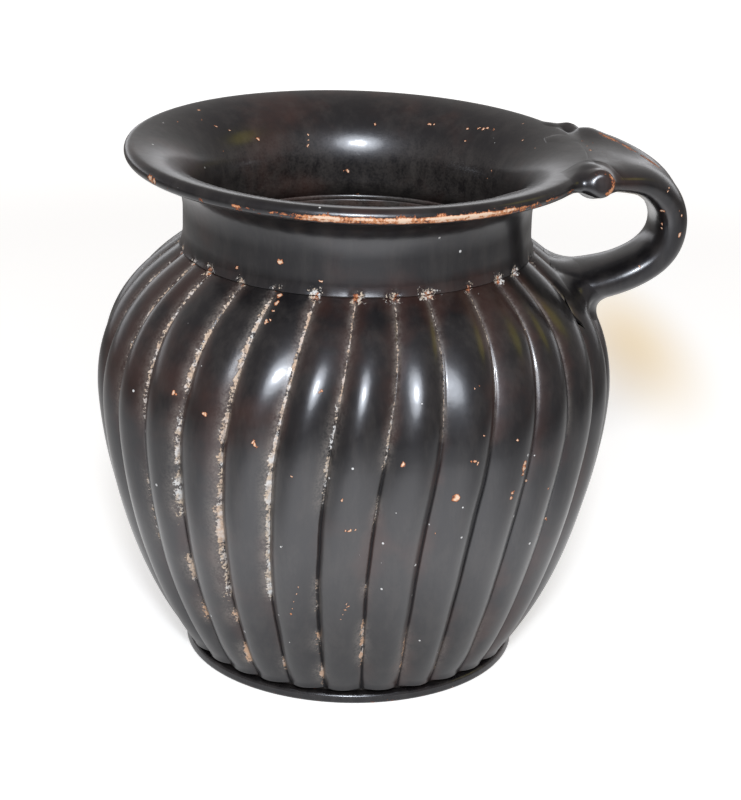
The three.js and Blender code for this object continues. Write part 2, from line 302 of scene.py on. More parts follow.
clay_rust = (0.27, 0.070, 0.028, 1)
clay_orange = (0.62, 0.25, 0.105, 1)
clay_tan = (0.66, 0.41, 0.26, 1)
clay_pale = (0.86, 0.63, 0.47, 1)
deposit_cream = (0.66, 0.53, 0.41, 1)
deposit_white = (0.74, 0.73, 0.72, 1)
deposit_grey = (0.31, 0.27, 0.24, 1)
slip_black = (0.0080, 0.0070, 0.0075, 1)
slip_brown = (0.036, 0.0165, 0.013, 1)
cut_shade_black = (0.003, 0.0025, 0.0025, 1)
cool_gloss = (0.88, 0.90, 1.0, 1)
cell_scale = 520.0        # of the cells that may hold a pale speck each
speck_size = 0.155        # of a cell
warp_reach = 0.0013       # how far the ragged border of a chip strays
uneven_height = 0.000022
mottle_height = 0.000010
crust_height = 0.00016
chip_depth = 0.00005


def black_slip(name, piece, brownness=0.5, polish=0.30, pits=0.0000022, marks=()):
    """Black gloss over orange clay. How far it is worn, filmed and crusted is read from the piece's skin."""
    material = new_material(name)
    tree = material.node_tree
    place = put(tree, "ShaderNodeTexCoord").outputs["Object"]

    def painted(attribute):
        return put(tree, "ShaderNodeAttribute", attribute_name=attribute).outputs["Fac"]

    # The fired slip: black, red-brown where it is thin, as it is beside the grooves
    mottle = grain(tree, place, 620, 3, 0.6)
    ragged = grain(tree, place, 2300, 3, 0.6)
    ragged_wide = grain(tree, place, 420, 4, 0.65)
    drift = reckon(tree, "MULTIPLY_ADD", painted("thin"), 0.16, grain(tree, place, 45, 4, 0.6))
    thin = spread(tree, drift, 0.70 - 0.25 * brownness, 0.92 - 0.25 * brownness)
    slip = blend(tree, thin, slip_black, slip_brown, "RGBA")

    # Worn places, with ragged borders
    rags = blend(tree, 0.5, ragged, ragged_wide)
    worn = reckon(tree, "ADD", painted("worn"), reckon(tree, "MULTIPLY_ADD", rags, 2.0, -1.0))
    deep = spread(tree, worn, 0.36, 0.90, smooth=False)
    deep = reckon(tree, "MULTIPLY", deep, spread(tree, painted("worn"), 0, 0.06))

    # Chips at their own places
    warp = put(tree, "ShaderNodeTexNoise", Vector=place, Scale=1100.0, Detail=3.0)
    shift = put(tree, "ShaderNodeVectorMath", operation="MULTIPLY_ADD")
    fill(tree, shift.inputs[0], warp.outputs["Color"])
    shift.inputs[1].default_value = (warp_reach,) * 3
    fill(tree, shift.inputs[2], place)
    for centre, radius in marks:
        gap = put(tree, "ShaderNodeVectorMath", operation="DISTANCE")
        fill(tree, gap.inputs[0], shift.outputs[0])
        gap.inputs[1].default_value = centre + Vector((warp_reach / 2,) * 3)
        chip = spread(tree, gap.outputs["Value"], radius * 0.35, radius * 1.25, 0.85, 0.0)
        deep = reckon(tree, "MAXIMUM", deep, chip)
    bare = spread(tree, deep, 0.06, 0.22)
    clay = blend(tree, spread(tree, deep, 0.15, 0.45), clay_rust, clay_orange, "RGBA")
    clay = blend(tree, spread(tree, deep, 0.45, 0.85), clay, clay_pale, "RGBA")

    # Fine pale specks, in drifts
    specks = put(tree, "ShaderNodeTexVoronoi", Vector=place, Scale=cell_scale)
    chance = put(tree, "ShaderNodeSeparateColor", Color=specks.outputs["Color"]).outputs
    crowd = spread(tree, grain(tree, place, 75, 2), 0.35, 0.70, 0.95, 0.66)
    luck = reckon(tree, "SUBTRACT", chance["Red"], crowd)
    size = reckon(tree, "MULTIPLY", spread(tree, luck, 0.0, 0.30), speck_size)
    speck = spread(tree, reckon(tree, "SUBTRACT", size, specks.outputs["Distance"]), 0.0, 0.04)

    # What lies in the grooves: a thin silvery film, and a crust that breaks up into flecks
    upright = put(tree, "ShaderNodeVectorMath", operation="MULTIPLY")
    fill(tree, upright.inputs[0], place)
    upright.inputs[1].default_value = (1, 1, 0.25)
    smears = spread(tree, grain(tree, upright.outputs["Vector"], 330, 4, 0.65), 0.40, 0.72, 0.0, 0.05)
    film = reckon(tree, "MULTIPLY", painted("film"), spread(tree, rags, 0.36, 0.60, 0.15, 1.0), clamp=True)
    film = reckon(tree, "ADD", film, smears, clamp=True)
    thick = reckon(tree, "ADD", painted("crust"), reckon(tree, "MULTIPLY_ADD", rags, 3.8, -1.9))
    crust = reckon(tree, "MULTIPLY", spread(tree, thick, 0.42, 0.62), spread(tree, painted("crust"), 0, 0.10))

    colour = blend(tree, film, slip, deposit_grey, "RGBA")
    colour = blend(tree, bare, colour, clay, "RGBA")
    crust_colour = blend(tree, spread(tree, ragged, 0.38, 0.60), deposit_grey, deposit_cream, "RGBA")
    crust_colour = blend(tree, spread(tree, mottle, 0.44, 0.66), crust_colour, deposit_white, "RGBA")
    tan = reckon(tree, "MULTIPLY", painted("tan"), spread(tree, ragged_wide, 0.35, 0.55), clamp=True)
    crust_colour = blend(tree, tan, crust_colour, clay_tan, "RGBA")
    colour = blend(tree, crust, colour, crust_colour, "RGBA")
    colour = blend(tree, speck, colour, deposit_white, "RGBA")
    # Painted shade: the fine cut at the bottom of a groove is painted black
    colour = blend(tree, painted("line"), colour, cut_shade_black, "RGBA")

    # Gloss: none on bare clay, crust and the painted shade of the cuts, less where the skin is seen edge on
    covered = reckon(tree, "MAXIMUM", bare, crust)
    covered = reckon(tree, "MAXIMUM", covered, reckon(tree, "MULTIPLY", film, 0.7))
    covered = reckon(tree, "MAXIMUM", covered, painted("line"))
    slick = blend(tree, mottle, polish - 0.05, polish + 0.08)
    rough = blend(tree, covered, slick, 0.85)
    facing = put(tree, "ShaderNodeLayerWeight", Blend=0.30).outputs["Facing"]
    gloss = reckon(tree, "MULTIPLY", reckon(tree, "MULTIPLY_ADD", covered, -0.92, 0.92),
                   reckon(tree, "MULTIPLY_ADD", facing, -0.75, 1.0))

    # Relief: a skin hardly uneven, crusts that stand up, chips a shade lower
    level = reckon(tree, "MULTIPLY", grain(tree, place, 300, 2), uneven_height)
    level = reckon(tree, "MULTIPLY_ADD", mottle, mottle_height, level)
    level = reckon(tree, "MULTIPLY_ADD", ragged, pits, level)
    level = reckon(tree, "MULTIPLY_ADD", reckon(tree, "MULTIPLY", crust, ragged), crust_height, level)
    level = reckon(tree, "MULTIPLY_ADD", bare, -chip_depth, level)
    relief = put(tree, "ShaderNodeBump", Height=level)
    relief.inputs["Strength"].default_value = 1.0
    relief.inputs["Distance"].default_value = 1.0

    skin = put(tree, "ShaderNodeBsdfPrincipled", Base_Color=colour, Roughness=rough,
               Normal=relief.outputs[0])
    skin.inputs["IOR"].default_value = 1.5
    skin.inputs["Specular IOR Level"].default_value = 0.5
    skin.inputs["Specular Tint"].default_value = cool_gloss
    fill(tree, skin.inputs["Coat Weight"], gloss)
    skin.inputs["Coat Roughness"].default_value = 0.17
    skin.inputs["Coat IOR"].default_value = 1.5
    fill(tree, skin.inputs["Coat Normal"], relief.outputs[0])
    put(tree, "ShaderNodeOutputMaterial", Surface=skin.outputs[0])
    piece.data.materials.clear()
    piece.data.materials.append(material)


def write_amounts(piece, name, amounts):
    """Stores an amount for each place of the skin, to be read by the piece's material."""
    piece.data.attributes.new(name, "FLOAT", "POINT").data.foreach_set("value", amounts)


def paint(piece, name, amount_at):
    write_amounts(piece, name, [amount_at(spot.co) for spot in piece.data.vertices])


def smoothstep(low, high, value):
    share = min(max((value - low) / (high - low), 0), 1)
    return share * share * (3 - 2 * share)


def hump(value, centre, width):
    return math.exp(-((value - centre) / width) ** 2)


def foot_wear(spot):
    lower_edge = 0.30 * hump(spot.z, 0.0002, 0.0006)
    upper_edge = 0.12 * hump(spot.z, foot_height, 0.0004)
    return lower_edge + upper_edge


foot_outline = [(0, 0)]
foot_outline += rounding(foot_radius - foot_rounding, foot_rounding, foot_rounding, -90, 0)
foot_outline += rounding(foot_radius - foot_rounding, foot_height - foot_rounding, foot_rounding, 0, 90)
foot_outline += [(foot_radius - 0.002, foot_height), (0, foot_height)]
foot = turned_piece("foot", foot_outline, turned_columns)
paint(foot, "worn", foot_wear)
black_slip("foot_black", foot, polish=0.26, brownness=0.7)
finish_piece(foot, "foot_black_gloss", "foot_disc")


# Slip between foot and pot
# A thin layer of slip that glues the foot on, wiped back so that a dark groove shows all round.
foot_slip_radius = 0.0294
foot_slip_inset = 0.0004
foot_slip_edge = 0.0002
pot_base = 0.0027
groove_black = (0.006, 0.005, 0.005, 1)
groove_brown = (0.022, 0.015, 0.012, 1)
groove_relief = 0.0001
foot_slip_outline = [
    (0, foot_height),
    (foot_slip_radius - foot_slip_inset, foot_height),
    (foot_slip_radius, foot_height + foot_slip_edge),
    (foot_slip_radius, pot_base - foot_slip_edge),
    (foot_slip_radius - foot_slip_inset, pot_base),
    (0, pot_base),
]
foot_slip = turned_piece("foot_slip", foot_slip_outline, turned_columns)
matt_slip = new_material("groove_slip")
matt = matt_slip.node_tree
matt_place = put(matt, "ShaderNodeTexCoord").outputs["Object"]
matt_colour = blend(matt, grain(matt, matt_place, 420, 4), groove_black, groove_brown, "RGBA")
matt_level = reckon(matt, "MULTIPLY", grain(matt, matt_place, 900, 4), groove_relief)
matt_relief = put(matt, "ShaderNodeBump", Height=matt_level)
matt_relief.inputs["Distance"].default_value = 1.0
matt_skin = put(matt, "ShaderNodeBsdfPrincipled", Base_Color=matt_colour, Normal=matt_relief.outputs[0],
                Roughness=spread(matt, grain(matt, matt_place, 260, 3), 0.3, 0.7, 0.65, 0.9))
put(matt, "ShaderNodeOutputMaterial", Surface=matt_skin.outputs[0])
foot_slip.data.materials.append(matt_slip)
finish_piece(foot_slip, "shadow_groove_slip", "foot_joint_slip")


# Ribbed pot
# The thrown body, pressed into ribs by hand while it was damp, so its grooves bow and stray a little.
# Chalky earth has settled in the grooves, thickest at the left of the front.
heel_radius = 0.0313
heel_rounding = 0.0006
heel_lean = 34.2
heel_reach = 0.0231
pot_height = 0.0748
belly_radius = 0.0470
belly_height = 0.0516
belly_fullness_below = 0.0060
belly_fullness_above = 0.0159
shoulder_radius = 0.0319
shoulder_lean = 50.9
shoulder_reach = 0.0060
pot_wall = 0.0035
pot_floor = 0.0040
pot_top = pot_base + pot_height
mouth_radius = 0.0282

rib_count = 29
rib_depth = 0.00190
rib_depth_at_neck = 0.00085
rib_depth_at_heel = 0.00100
rib_start = -96.3
rib_swing = 6.2
rib_bow = 2.85
rib_bow_turn = 3.8
rib_bow_phase = 0.89
rib_bow_centre = -117.6
rib_strays = (0.8, 0.3, -1.8, 0, 0.9, -1.5, 1, 0.6, 1.4, -1.2)
rib_stray_fade = 0.33
rib_columns = 22
rib_leans = {27: 0.40, 28: 0.42, 0: 0.35, 1: -0.25, 2: -0.50}    # how far a rib's crest is pushed aside
rib_crowding = 0.72       # how much closer the columns stand at the grooves
wall_rows = 52            # along each of the two curves of the wall
inside_dust = 0.20
cut_depth = 0.00030       # of the fine line at the bottom of a groove
cut_width = 0.00020
shoulder_start = 0.048    # heights between which the belly turns into the dusty shoulder
shoulder_end = 0.064
groove_reach = 0.004      # how far from a groove's middle its crust may reach
nick_reach = 0.0016       # how far below the pot's top the nicks end
hand_unevenness = 0.00012
crumb_height = 0.00018
thin_reach = 0.0020       # of the slip's thin places beside a groove


def aside(start, degrees, length):
    turn = math.radians(degrees)
    return (start[0] + math.sin(turn) * length, start[1] + math.cos(turn) * length)


def bend(start, pull_out, pull_in, end, steps):
    places = []
    for step in range(steps + 1):
        t = step / steps
        weights = ((1 - t) ** 3, 3 * (1 - t) ** 2 * t, 3 * (1 - t) * t ** 2, t ** 3)
        corners = (start, pull_out, pull_in, end)
        places.append(tuple(sum(w * c[axis] for w, c in zip(weights, corners)) for axis in (0, 1)))
    return places


def pot_wall_outline(rows):
    heel = (heel_radius, pot_base + heel_rounding)
    belly = (belly_radius, belly_height)
    seat = (shoulder_radius, pot_top)
    lower = bend(heel, aside(heel, heel_lean, heel_reach), (belly[0], belly[1] - belly_fullness_below),
                 belly, rows)
    upper = bend(belly, (belly[0], belly[1] + belly_fullness_above),
                 aside(seat, 180 - shoulder_lean, shoulder_reach), seat, rows)
    return lower + upper[1:]


def moved(outline, distance):
    places = []
    for index, (radius, height) in enumerate(outline):
        before = outline[max(index - 1, 0)]
        after = outline[min(index + 1, len(outline) - 1)]
        along = Vector((after[0] - before[0], after[1] - before[1])).normalized()
        places.append((radius + along.y * distance, height - along.x * distance))
    return places


def groove_turn(rib, height):
    fall = (pot_top - height) / pot_height
    even = rib_start + rib * 360 / rib_count
    swing = rib_swing * math.sin(fall * math.pi / 2)
    bow = rib_bow * math.cos(rib_bow_turn * fall + rib_bow_phase)
    bow *= math.sin(math.radians(even - rib_bow_centre))
    stray = rib_strays[rib % len(rib_strays)] * max(0, 1 - fall / rib_stray_fade)
    return even - swing + bow + stray


def rib_depth_at(height):
    from_neck = smoothstep(pot_top, pot_top - 0.020, height)
    from_heel = smoothstep(pot_base, pot_base + 0.014, height)
    deep = rib_depth_at_neck + (rib_depth - rib_depth_at_neck) * from_neck
    return deep - (rib_depth - rib_depth_at_heel) * (1 - from_heel)


# Stretches of a groove, by its number: from this height down to that one (in mm), how thick the crust is,
# how far it reaches to the left (in mm), and how tan it is
crust_stretches = {
    28: ((77, 64, 0.72, 0.60, 0.5), (66, 52, 0.90, 0.55, 0.2), (54, 43, 0.95, 0.85, 0.1),
         (44, 24, 0.85, 0.70, 0.0), (10, 6, 0.7, 0.5, 0.9)),
    27: ((77, 54, 0.72, 0.75, 0.3), (52, 42, 0.80, 0.8, 0.3), (43, 33, 0.86, 1.1, 0.4),
         (34, 22, 0.62, 1.3, 0.1), (20, 16, 0.8, 1.0, 0.9), (11, 6, 0.9, 0.8, 0.9)),
    26: ((77, 60, 0.66, 0.75, 0.3), (58, 46, 0.75, 0.8, 0.1), (46, 36, 0.68, 1.3, 0.0),
         (28, 23, 0.8, 0.9, 0.2), (18, 14, 0.7, 0.8, 0.9)),
    25: ((77, 52, 0.58, 0.65, 0.3), (44, 28, 0.50, 0.6, 0.1)),
    24: ((77, 50, 0.52, 0.60, 0.3), (40, 20, 0.45, 0.5, 0.2)),
    0: ((77, 62, 0.58, 0.35, 0.4), (62, 44, 0.68, 0.7, 0.0), (30, 22, 0.45, 0.5, 0.2),
        (17, 13, 0.7, 0.8, 1.0), (9, 5, 0.8, 0.8, 0.8)),
    1: ((77, 60, 0.60, 0.30, 0.3), (60, 52, 0.72, 0.5, 0.0), (46, 41, 0.60, 0.4, 0.1),
        (29, 26, 0.7, 0.5, 0.8), (20, 10, 0.80, 0.7, 0.9)),
    2: ((77, 56, 0.58, 0.30, 0.2), (18, 6, 0.65, 0.6, 0.9)),
    3: ((77, 60, 0.60, 0.32, 0.2), (14, 6, 0.55, 0.5, 0.9)),
    4: ((77, 60, 0.56, 0.28, 0.3), (16, 8, 0.50, 0.4, 0.9)),
    5: ((76, 50, 0.48, 0.28, 0.4),),
    6: ((60, 44, 0.52, 0.35, 0.9), (44, 34, 0.60, 0.45, 1.0)),
}
random.seed(11)
nick_widths = [random.uniform(0.0008, 0.0015) for _ in range(rib_count)]
nick_strengths = [random.uniform(0.60, 1.0) for _ in range(rib_count)]
random.seed(7)
for rib in range(rib_count):
    rib_leans.setdefault(rib, random.uniform(-0.25, 0.25))
    if rib not in crust_stretches:
        start = random.uniform(30, 60)
        crust_stretches[rib] = ((76, 62, random.uniform(0.4, 0.6), 0.6, 0.1),
                                (start, start - random.uniform(8, 22), random.uniform(0.5, 0.9),
                                 random.uniform(0.6, 1.6), random.random()),
                                (12, 5, random.uniform(0.3, 0.8), 0.9, 0.9))


def crust_of(rib, height, beside):
    """How thick the crust is, how tan, and the dust about it, so far beside the groove to its right."""
    thick = 0
    tan = 0
    dust = 0
    for top, bottom, strength, reach, tint in crust_stretches[rib]:
        along = smoothstep(bottom - 2, bottom + 2, height * 1000)
        along *= smoothstep(top + 2, top - 2, height * 1000)
        reach_here = reach / 1000 if beside < 0 else 0.00010
        here = strength * along * smoothstep(reach_here * 1.5, reach_here * 0.2, abs(beside))
        dust = max(dust, strength * along * hump(beside, -reach / 2000, 0.0004 + reach / 1000))
        if here > thick:
            thick = here
            tan = tint
    return thick, tan, dust


def ring_skin(name, rings):
    """A closed skin over a row of rings of places, all with as many places, flat at both ends."""
    count = len(rings[0])
    faces = []
    for first in range(0, count * (len(rings) - 1), count):
        for column in range(count):
            beside = (column + 1) % count
            faces.append((first + column, first + beside, first + count + beside, first + count + column))
    faces.append(tuple(range(count)))
    faces.append(tuple(range(count * (len(rings) - 1), count * len(rings))))
    mesh = bpy.data.meshes.new(name)
    mesh.from_pydata([spot for ring in rings for spot in ring], [], faces)
    piece = bpy.data.objects.new(name, mesh)
    bpy.context.scene.collection.objects.link(piece)
    deselect_all()
    piece.select_set(True)
    bpy.context.view_layer.objects.active = piece
    bpy.ops.object.mode_set(mode="EDIT")
    bpy.ops.mesh.select_all(action="SELECT")
    bpy.ops.mesh.normals_make_consistent(inside=False)
    bpy.ops.object.mode_set(mode="OBJECT")
    bpy.ops.object.shade_smooth()
    return piece


def rib_place(column):
    """Which rib a column of the skin is on, and how far across it. The columns crowd at the grooves."""
    rib, step = divmod(column, rib_columns)
    even = step / rib_columns
    return rib, even - rib_crowding * math.sin(math.tau * even) / math.tau


wall_outline = pot_wall_outline(wall_rows)
inside_start = pot_base + pot_floor + pot_wall
inside = [spot for spot in moved(pot_wall_outline(12), -pot_wall) if spot[1] > inside_start]
floor_corner = (inside[0][0] - pot_wall, pot_base + pot_floor)
floor_curve = bend(floor_corner, (inside[0][0] - pot_wall / 3, floor_corner[1]),
                   aside(inside[0], 180 + heel_lean, pot_wall / 2), inside[0], 4)
outer_rows = [(0.0005, pot_base), (0.020, pot_base), (0.029, pot_base)]
outer_rows += rounding(heel_radius - heel_rounding, pot_base + heel_rounding, heel_rounding, -90, 0, 5)[:-1]
outer_rows += wall_outline + [(shoulder_radius - 0.0003, pot_top)]
inner_rows = [(mouth_radius + 0.0003, pot_top), (mouth_radius + 0.0001, pot_top - 0.0001),
              (mouth_radius, pot_top - 0.0003)]
inner_rows += [spot for spot in reversed(inside) if spot[1] < pot_top - 0.0005]
inner_rows += list(reversed(floor_curve[:-1]))
inner_rows += [(0.012, floor_corner[1]), (0.0005, floor_corner[1])]
rib_columns_round = [rib_place(column) for column in range(rib_count * rib_columns)]
pot_rings = []
pot_paint = {"film": [], "crust": [], "tan": [], "thin": [], "line": [], "worn": []}


def pressed_ring(radius, height, pressed):
    """One ring of the pot's skin, with the depth of the ribs taken off it where the wall is pressed."""
    turns = [groove_turn(rib, height) for rib in range(rib_count)]
    turns.append(turns[0] + 360)
    upper = smoothstep(shoulder_start, shoulder_end, height)
    foot_end = smoothstep(pot_base, pot_base + 0.006, height)
    ring = []
    for rib, share in rib_columns_round:
        turn = math.radians(turns[rib] + (turns[rib + 1] - turns[rib]) * share)
        rib_width = math.radians(turns[rib + 1] - turns[rib]) * radius
        beside = share * rib_width if share < 0.5 else (share - 1) * rib_width
        groove = rib if share < 0.5 else (rib + 1) % rib_count
        near_groove = pressed and abs(beside) < groove_reach
        thick, tan, dust = crust_of(groove, height, beside) if near_groove else (0, 0, 0)
        nicked = nick_strengths[groove] * hump(beside, 0, nick_widths[groove]) * pressed
        nicked *= smoothstep(pot_top - nick_reach, pot_top - 0.0002, height)
        thick = max(thick, nicked * (0.95 - 0.5 * hump(beside, 0, nick_widths[groove] / 2)))
        line = hump(beside, 0, cut_width) * pressed
        wobble = hand_unevenness * noise.noise(Vector((groove * 7.3, height * 160, 0)))
        hand = hand_unevenness * noise.noise(Vector((rib * 3.1 + share * 1.3, height * 55, 4))) * foot_end
        crumbs = crumb_height * thick * (0.5 + noise.noise(Vector((turn * radius, height, radius)) * 1400))
        across = 2 * share - 1
        leaning = rib_leans[rib] * across * (1 - across * across)
        depth = rib_depth_at(height) * (across * across + leaning) + cut_depth * line * (1 - 0.5 * thick)
        skin = radius + (hand + crumbs - depth) * pressed
        turn += wobble * pressed / radius
        ring.append((math.cos(turn) * skin, math.sin(turn) * skin, height))
        broken = 0.6 + 0.8 * noise.noise(Vector((groove * 5.1, height * 420, 9)))
        dusty = (0.20 + 0.80 * upper) * broken * hump(beside, -0.00015, 0.00028 + 0.00024 * upper)
        dusty = max(dusty, 0.7 * dust)
        pot_paint["film"].append(dusty * pressed + inside_dust * (1 - pressed))
        pot_paint["crust"].append(thick)
        pot_paint["worn"].append(0.75 * nicked)
        pot_paint["tan"].append(tan)
        pot_paint["thin"].append(hump(beside, 0, thin_reach) + 0.6 * upper)
        # Painted shade in the cut at a groove's bottom, less on the shoulder and where crust fills it
        pot_paint["line"].append(line * (1 - 0.85 * upper) * (1 - smoothstep(0.3, 0.9, thick)))
    return ring


for radius, height in outer_rows:
    pot_rings.append(pressed_ring(radius, height, smoothstep(0.0285, 0.0300, radius)))
for radius, height in inner_rows:
    pot_rings.append(pressed_ring(radius, height, 0))
pot = ring_skin("ribbed_body", pot_rings)
for name, amounts in pot_paint.items():
    write_amounts(pot, name, amounts)


# Chips, from where the picture shows them (pixels across and down) and how wide they are (in mm)
def marks_on(piece, seen):
    tree = BVHTree.FromObject(piece, bpy.context.evaluated_depsgraph_get())
    marks = []
    for across, down, size in seen:
        spot, _, _, _ = tree.ray_cast(camera_place, sight_through(across, down))
        if spot is not None:
            marks.append((spot, size / 2000))
    return marks


body_chips_seen = (
    (297, 588, 0.25), (296, 594, 0.3), (294, 601, 0.35), (292, 608, 0.3), (291, 614, 0.4), (347, 604, 0.3),
    (345, 609, 0.3), (343, 614, 0.25), (341, 619, 0.25),
    (525, 463, 1.0), (524, 468, 1.2), (523, 474, 0.8), (526, 480, 0.5), (513, 492, 0.7), (511, 498, 0.8),
    (456, 498, 1.1), (403, 465, 0.9), (472, 461, 0.6), (475, 462, 0.6), (478, 464, 0.4), (174, 393, 0.9),
    (205, 414, 0.8), (253, 442, 0.5), (255, 444, 0.5), (257, 446, 0.4), (322, 391, 0.6), (320, 393, 0.4),
    (350, 531, 0.5), (346, 531, 0.5), (356, 530, 0.4), (342, 500, 0.5), (545, 519, 0.6), (548, 489, 0.4),
    (538, 533, 0.4), (435, 533, 0.3), (292, 476, 0.3), (358, 483, 0.3), (346, 610, 0.4), (348, 607, 0.4),
    (474, 388, 0.3), (477, 386, 0.3), (480, 385, 0.3), (389, 450, 0.4), (484, 435, 0.4), (518, 440, 0.4),
    (279, 296, 1.0), (276, 303, 0.9), (273, 311, 0.6), (270, 320, 0.4), (266, 322, 0.6),
)
black_slip("ribbed_black", pot, marks=marks_on(pot, body_chips_seen))
finish_piece(pot, "ribbed_black_gloss", "ribbed_pot")


# Ledge between pot and neck
# The slip that glued the neck on, squeezed out and smoothed into a narrow ledge over the ribs.
# Each groove was started with a nick into it.
slip_thickness = 0.0008
neck_radius = 0.0314
neck_base = pot_top + slip_thickness
ledge_radius = shoulder_radius + 0.0001
ledge_columns = 900
ledge_rows = 16
ledge_seat = 0.0001       # how far it reaches up into the neck
ledge_overlap = 0.0004    # and how far in from the neck's skin
nick_depth = 0.00035
neck_fillet = 0.0034      # height over which the neck's foot and the ledge spread to the pot's edge
ledge_skin = 0.00003      # how thinly the slip runs out over the neck


def neck_foot_at(height):
    share = (height - pot_top) / neck_fillet
    return neck_radius + (ledge_radius - neck_radius) * max(1 - share, 0) ** 2.2


ledge_outline = [(mouth_radius, pot_top), (ledge_radius - 0.0003, pot_top)]
for step in range(ledge_rows + 1):
    height = pot_top + neck_fillet * step / ledge_rows
    ledge_outline.append((neck_foot_at(height) + ledge_skin * (1 - 2 * step / ledge_rows), height))
ledge_outline += [(neck_radius - ledge_overlap, pot_top + neck_fillet),
                  (neck_radius - ledge_overlap, neck_base + ledge_seat),
                  (mouth_radius, neck_base + ledge_seat), (mouth_radius, pot_top)]
ledge = turned_piece("neck_ledge", ledge_outline, ledge_columns)


def nick_at(spot):
    """How much of a groove's nick there is at a place of the ledge or the neck's lower end."""
    turn = math.degrees(math.atan2(spot.y, spot.x))
    gaps = [((turn - groove_turn(rib, pot_top) + 180) % 360 - 180, rib) for rib in range(rib_count)]
    gap, rib = min(gaps, key=lambda gap: abs(gap[0]))
    beside = math.radians(gap) * spot.xy.length + 0.0006 * noise.noise(spot * 900)
    return nick_strengths[rib] * hump(beside, 0, nick_widths[rib])


def press_nicks(piece):
    """Presses the nicks in round the pot's top, crusts them, and returns how much of one each place has."""
    nicks = []
    for spot in piece.data.vertices:
        outer = spot.co.xy.length > neck_radius - 0.0001
        nick = nick_at(spot.co) * hump(spot.co.z, pot_top + 0.0002, slip_thickness) if outer else 0
        inward = spot.co.xy.normalized() * nick_depth * nick
        spot.co.x -= inward.x
        spot.co.y -= inward.y
        nicks.append(nick)
    write_amounts(piece, "crust", [0.95 * nick * (1.4 - nick) for nick in nicks])
    return nicks


def dusty_inside(spot):
    return inside_dust * smoothstep(0.0310, 0.0286, spot.xy.length)


ledge_nicks = press_nicks(ledge)
write_amounts(ledge, "worn", [0.70 * nick for nick in ledge_nicks])
paint(ledge, "film", dusty_inside)
black_slip("ledge_black", ledge, brownness=0.9)
finish_piece(ledge, "neck_ledge_slip", "neck_joint_slip")


# Neck and rim
# A collar thrown with the pot and a wide rim that flares from it, both smooth and glossy.
# The rim's outer edge has lost its slip in patches, most at the front, and orange clay shows.
neck_height = 0.0174
flare_start = 0.0056
flare_pull = 0.0056
rim_radius = 0.0418
rim_thickness = 0.0027
rim_slope = 11
rim_shelf = 0.0060
rim_inner_slope = 5
rim_inner_shelf = 0.0085
rim_lean = 0.9
rim_top = neck_base + neck_height
rim_half = rim_thickness / 2
rim_fall = math.tan(math.radians(rim_lean))

outer_start = (neck_radius, neck_base + flare_start)
outer_end = (rim_radius - rim_half, rim_top - rim_thickness)
inner_start = (rim_radius - rim_half, rim_top)
inner_end = (mouth_radius, neck_base + flare_start)
rim_inside = bend(inner_start, aside(inner_start, 270 - rim_inner_slope, rim_inner_shelf),
                  (mouth_radius, inner_end[1] + flare_pull), inner_end, 40)
neck_outline = []
for step in range(12):
    height = neck_base + neck_fillet * step / 12
    neck_outline.append((neck_foot_at(height), height))
neck_outline += bend(outer_start, (neck_radius, outer_start[1] + flare_pull),
                     aside(outer_end, 270 - rim_slope, rim_shelf), outer_end, 28)
neck_outline += rounding(rim_radius - rim_half, rim_top - rim_half, rim_half, -90, 90, 18)[1:-1]
neck_outline += rim_inside
neck_outline += [(mouth_radius, neck_base + 0.0028), (mouth_radius, neck_base), neck_outline[0]]
neck = turned_piece("neck_and_flaring_rim", neck_outline, 600)


def rim_wear(spot):
    turn = math.degrees(math.atan2(spot.y, spot.x))
    edge = smoothstep(rim_radius - 0.0011, rim_radius - 0.0004, spot.xy.length)
    middle = rim_top - rim_half
    patches = noise.noise(Vector((turn / 6.0, 0, 2)))
    patches += 0.8 * noise.noise(Vector((turn / 2.6, spot.z * 1500, 5)))
    lower = hump(spot.z, middle - 0.0003, 0.0008)
    front = smoothstep(-118, -100, turn) * smoothstep(-44, -64, turn)
    lines = smoothstep(-150, -112, turn) * smoothstep(-14, -30, turn)
    lines *= 0.5 + 0.5 * math.cos(spot.z * 9000)
    return edge * lower * (0.17 + 0.50 * front + 0.32 * lines + 0.40 * patches)


paint(neck, "worn", rim_wear)
press_nicks(neck)
for spot in neck.data.vertices:
    share = max(0, (spot.co.z - neck_base) / neck_height)
    spot.co.z -= rim_fall * spot.co.x * share
neck_chips_seen = (
    (430, 124, 0.5), (434, 124, 0.5), (479, 128, 0.6), (483, 129, 0.8), (493, 130, 0.6), (465, 141, 0.5),
    (348, 171, 0.6), (523, 124, 0.4), (523, 140, 0.4), (535, 148, 0.3), (492, 171, 0.3), (487, 179, 0.3),
    (280, 262, 0.9), (237, 267, 0.6), (321, 281, 0.5), (375, 124, 0.6), (428, 124, 0.5), (345, 171, 0.4),
    (333, 196, 0.4), (358, 194, 0.4), (199, 110, 0.6), (202, 120, 0.4), (178, 122, 0.5), (216, 126, 0.5),
    (230, 131, 0.5), (258, 139, 0.6), (223, 151, 0.4), (308, 134, 0.3), (308, 140, 0.3), (308, 146, 0.3),
    (150, 178, 1.4), (154, 181, 1.0), (487, 128, 0.6), (468, 129, 0.5),
)
paint(neck, "film", lambda spot: 0.4 * dusty_inside(spot))
black_slip("rim_black", neck, brownness=0.8, marks=marks_on(neck, neck_chips_seen))
finish_piece(neck, "rim_black_gloss", "neck_and_rim")


